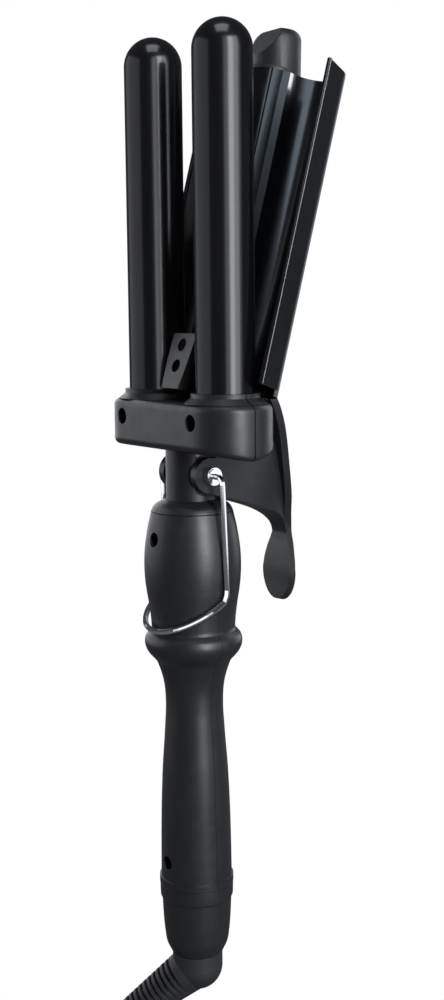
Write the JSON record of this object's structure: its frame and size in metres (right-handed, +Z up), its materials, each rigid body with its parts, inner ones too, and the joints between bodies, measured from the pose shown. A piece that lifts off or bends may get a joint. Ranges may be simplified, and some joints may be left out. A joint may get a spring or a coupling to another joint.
{
  "type": "hair waver",
  "caption": "Corded hair waver with fixed barrels on a yoke, a hinged jaw with a W-shaped plate, a thumb lever, a wire stand, key controls and a swivel cord guard.",
  "frame": {"origin": "centre of the handle at its slim waist, where the fingers close round it", "axes": "+Z up the handle and the fixed barrels, X along the yoke, -Y the side with the screws, +Y the side with the thumb lever"},
  "size_m": [0.092, 0.0968, 0.45],
  "materials": {
    "matte_black": "fine satin texture",
    "soft_black": "satin",
    "gloss_ceramic": "gloss ceramic coating",
    "chrome": "polished",
    "steel": "plain",
    "guard_rubber": "satin",
    "panel_gloss": "gloss",
    "window_smoke": "smoked gloss",
    "key_plastic": "satin",
    "board_green": "solder mask",
    "ceramic_core": "bare ceramic"
  },
  "bodies": {
    "handle": {"handle_front": "matte_black", "handle_rear": "matte_black", "handle_collar": "matte_black", "handle_screws": "steel", "neck": "matte_black", "yoke_front": "matte_black", "yoke_rear": "matte_black", "yoke_screws": "steel", "barrel_left": "gloss_ceramic", "barrel_right": "gloss_ceramic", "heater_left": "ceramic_core", "heater_right": "ceramic_core", "pivot_tube": "chrome", "end_cap": "soft_black", "control_board": "board_green", "thermal_fuse": "steel", "control_panel": "panel_gloss", "display_window": "window_smoke"},
    "jaw": {"lever": "matte_black", "wing_plate": "gloss_ceramic", "middle_holder": "matte_black", "holder_screws": "steel", "barrel_middle": "gloss_ceramic", "middle_cap": "soft_black", "heater_middle": "ceramic_core", "return_spring": "steel"},
    "stand": {"stand_wire": "chrome"},
    "swivel": {"cord_guard": "guard_rubber"},
    "power_key": {"power_button": "key_plastic"},
    "plus_key": {"plus_button": "key_plastic"},
    "minus_key": {"minus_button": "key_plastic"}
  },
  "joints": [
    {"name": "jaw_hinge", "type": "hinge", "parent": "handle", "child": "jaw", "pos_m": [0, 0, 0.102], "axis": [-1, 0, 0], "range_deg": [-15.5, 6]},
    {"name": "stand_hinge", "type": "hinge", "parent": "handle", "child": "stand", "pos_m": [0, 0, 0.102], "axis": [-1, 0, 0], "range_deg": [0, 80]},
    {"name": "guard_swivel", "type": "hinge", "parent": "handle", "child": "swivel", "pos_m": [0, 0, -0.11615], "axis": [0, 0, 1], "continuous": true},
    {"name": "power_press", "type": "slide", "parent": "handle", "child": "power_key", "axis": [0, -1, 0], "range_m": [0, 0.0008], "stiffness_N_per_m": 900},
    {"name": "plus_press", "type": "slide", "parent": "handle", "child": "plus_key", "axis": [0, -1, 0], "range_m": [0, 0.0008], "stiffness_N_per_m": 900},
    {"name": "minus_press", "type": "slide", "parent": "handle", "child": "minus_key", "axis": [0, -1, 0], "range_m": [0, 0.0008], "stiffness_N_per_m": 900}
  ]
}
